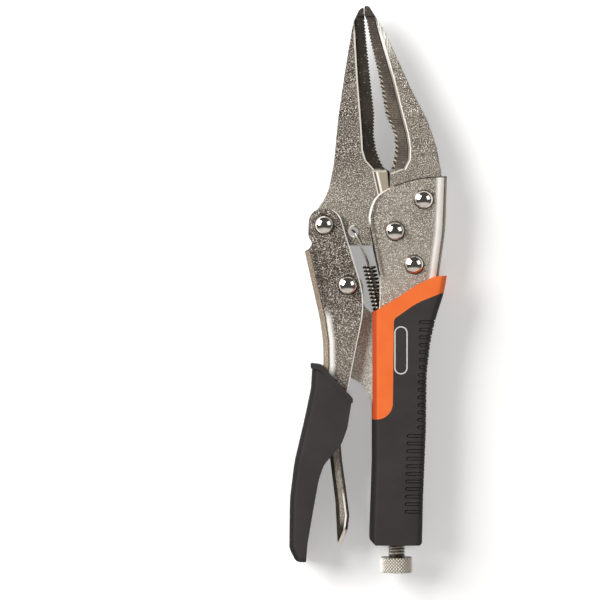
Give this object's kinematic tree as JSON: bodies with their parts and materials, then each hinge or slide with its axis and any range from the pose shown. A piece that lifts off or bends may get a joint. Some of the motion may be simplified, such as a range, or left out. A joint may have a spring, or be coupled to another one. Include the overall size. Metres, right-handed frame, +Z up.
{
  "type": "locking pliers",
  "caption": "Long-nose locking pliers with toothed jaws, wire cutter, over-centre toggle lever, release lever, knurled adjusting screw and two-colour rubber grips.",
  "frame": {"origin": "centre of the overall box on the plane the tool lies on", "axes": "+Y from the handles to the jaw tips, +X from the closing lever to the fixed handle, +Z up, parallel to every hinge"},
  "size_m": [0.0632, 0.2276, 0.0188],
  "materials": {
    "shot_blasted_nickel": "grainy shot-blasted nickel on folded steel sheet",
    "forged_nickel": "grainy nickel on forged steel, dark toothed bevels",
    "bright_rivet": "polished domed heads",
    "plain_steel": "plain turned steel",
    "spring_steel": "blackened spring wire",
    "screw_nickel": "warm bright nickel, knurled",
    "black_rubber": "matt black moulded rubber",
    "orange_rubber": "satin orange moulded rubber"
  },
  "bodies": {
    "handle": {"frame_shell": "shot_blasted_nickel", "fixed_jaw": "forged_nickel", "fixed_jaw_rivet_upper": "bright_rivet", "fixed_jaw_rivet_lower": "bright_rivet", "jaw_pivot_rivet": "bright_rivet", "spring_anchor_pin": "plain_steel", "return_spring": "spring_steel", "screw_nut": "plain_steel", "handle_grip_black": "black_rubber", "handle_grip_orange": "orange_rubber"},
    "jaw": {"movable_jaw": "forged_nickel", "lever_pivot_rivet": "bright_rivet"},
    "lever": {"lever_shell": "shot_blasted_nickel", "lever_grip": "black_rubber", "link_pivot_rivet": "bright_rivet", "release_lever_pin": "plain_steel"},
    "release": {"release_lever": "shot_blasted_nickel"},
    "link": {"toggle_link": "forged_nickel"},
    "screw": {"adjusting_screw": "screw_nickel"},
    "knob": {"screw_knob": "screw_nickel"}
  },
  "joints": [
    {"name": "lever_swing", "type": "hinge", "parent": "jaw", "child": "lever", "pos_m": [-0.01766, 0.02575, 0.0094], "axis": [0, 0, 1], "range_deg": [-60, 0]},
    {"name": "jaw_swing", "type": "hinge", "parent": "handle", "child": "jaw", "pos_m": [0.01074, 0.02335, 0.0094], "axis": [0, 0, 1], "range_deg": [0, 19.21], "deforming": ["return_spring"]},
    {"name": "link_swing", "type": "hinge", "parent": "handle", "child": "link", "pos_m": [0.01144, -0.05425, 0.0094], "axis": [0, 0, 1], "range_deg": [0, 19.51]},
    {"name": "release_press", "type": "hinge", "parent": "lever", "child": "release", "pos_m": [-0.01386, -0.04915, 0.0094], "axis": [0, 0, 1], "range_deg": [-12, 0]},
    {"name": "screw_travel", "type": "slide", "parent": "handle", "child": "screw", "axis": [0, -1, 0], "range_m": [0, 0.008]},
    {"name": "knob_turn", "type": "hinge", "parent": "screw", "child": "knob", "pos_m": [0.01144, -0.11065, 0.0094], "axis": [0, -1, 0], "range_deg": [0, 2305]}
  ],
  "couplings": [
    {"joint": "jaw_swing", "follows": "lever_swing", "ratio": -0.32},
    {"joint": "link_swing", "follows": "lever_swing", "ratio": -0.325},
    {"joint": "knob_turn", "follows": "screw_travel", "rad_per_m": 5026.5}
  ]
}
